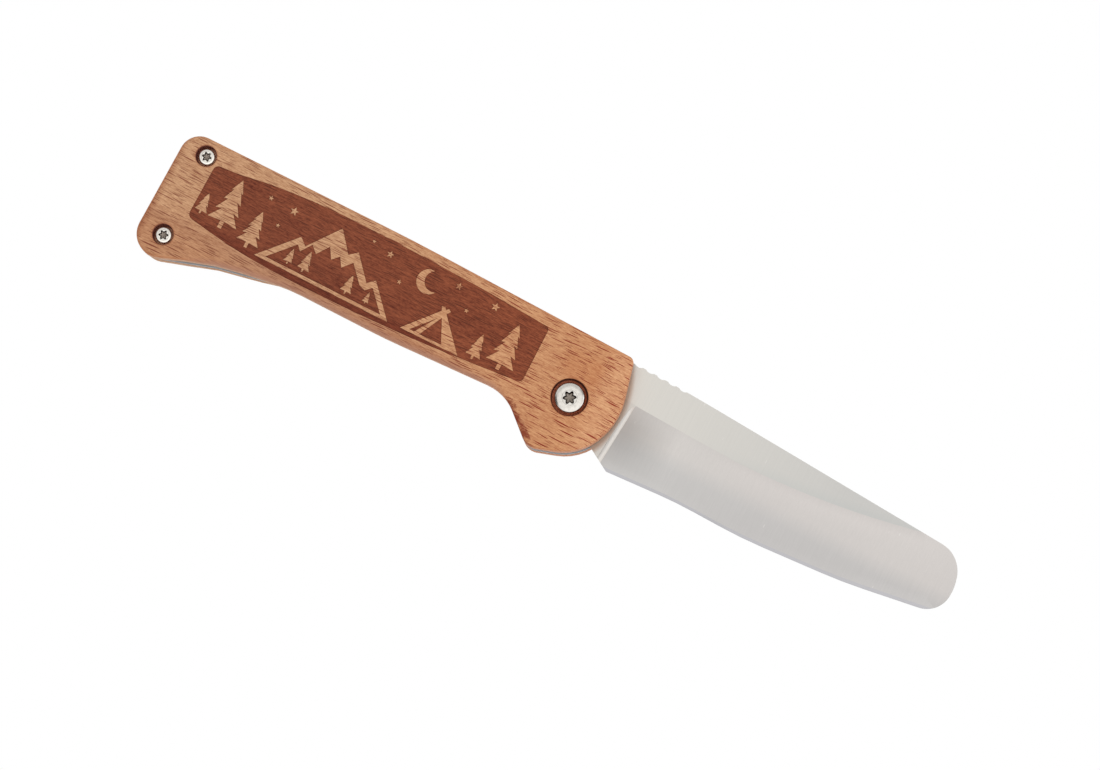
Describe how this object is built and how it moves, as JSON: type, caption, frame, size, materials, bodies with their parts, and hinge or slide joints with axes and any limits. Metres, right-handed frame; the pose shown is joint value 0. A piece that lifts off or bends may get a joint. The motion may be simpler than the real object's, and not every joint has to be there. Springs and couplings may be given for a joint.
{
  "type": "folding knife",
  "caption": "Folding pocket knife, open: broad hollow-ground blade with a round tip, wooden scales over steel liners with a flared butt, liner lock and star-drive screws.",
  "frame": {"origin": "centre of the bounding box on the plane the open knife lies on, the rear scale's outer face", "axes": "+X towards the blade's tip, +Y towards the spine and the back of the handle, +Z out of the front scale"},
  "size_m": [0.183, 0.0274, 0.0136],
  "materials": {
    "beech": "sanded and oiled beech, burnt brown at the cut edges and screw seats",
    "blade_steel": "satin, brushed across the blade",
    "liner_steel": "fine brushed",
    "screw_steel": "bright turned stainless steel",
    "pin_steel": "ground",
    "bronze": "plain bronze sheet"
  },
  "bodies": {
    "handle": {"front_scale": "beech", "rear_scale": "beech", "front_liner": "liner_steel", "rear_liner": "liner_steel", "front_washer": "bronze", "rear_washer": "bronze", "pivot_barrel": "pin_steel", "front_pivot_screw": "screw_steel", "rear_pivot_screw": "screw_steel", "stop_pin": "pin_steel", "upper_standoff": "pin_steel", "lower_standoff": "pin_steel", "front_upper_screw": "screw_steel", "front_lower_screw": "screw_steel", "rear_upper_screw": "screw_steel", "rear_lower_screw": "screw_steel"},
    "blade": {"blade": "blade_steel"},
    "lock_leaf": {"lock_leaf": "liner_steel", "detent_ball": "pin_steel"}
  },
  "joints": [
    {"name": "blade_fold", "type": "hinge", "parent": "handle", "child": "blade", "pos_m": [0.00383, -0.00042, 0.00681], "axis": [0, 0, 1], "range_deg": [-180, 0], "deforming": ["lock_leaf", "detent_ball"]},
    {"name": "lock_release", "type": "hinge", "parent": "handle", "child": "lock_leaf", "pos_m": [-0.05617, -0.00042, 0.009], "axis": [0, 1, 0], "range_deg": [-1.2, 0], "stiffness_Nm_per_rad": 9, "springref_deg": 1.72}
  ]
}
